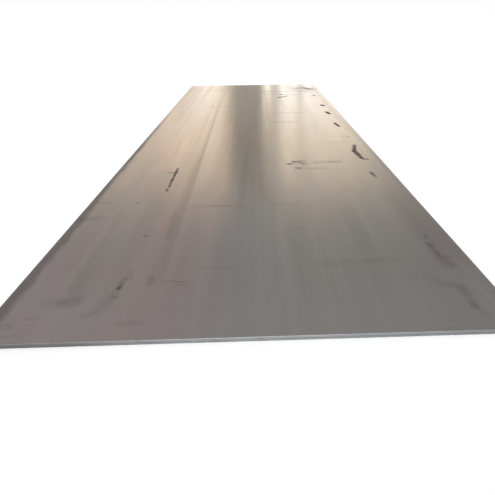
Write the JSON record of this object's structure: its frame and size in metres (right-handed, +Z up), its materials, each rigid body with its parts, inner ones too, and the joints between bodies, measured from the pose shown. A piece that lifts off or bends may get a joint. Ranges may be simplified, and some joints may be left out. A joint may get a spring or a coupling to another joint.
{
  "type": "steel plate",
  "caption": "Flat rectangular hot-rolled steel plate with barrel-shaped rolled long edges and sheared ends: raw stock to be cut, bent, drilled or welded.",
  "frame": {"origin": "middle of the underside, the face that the plate lies on", "axes": "+X across the width, +Y along the length, which is the rolling direction, from the leading sheared end to the trailing one, +Z up out of the upper face"},
  "size_m": [1.9999, 6, 0.02],
  "materials": {
    "mill_scale": "satin"
  },
  "bodies": {
    "root": {"plate": "mill_scale"}
  },
  "joints": []
}
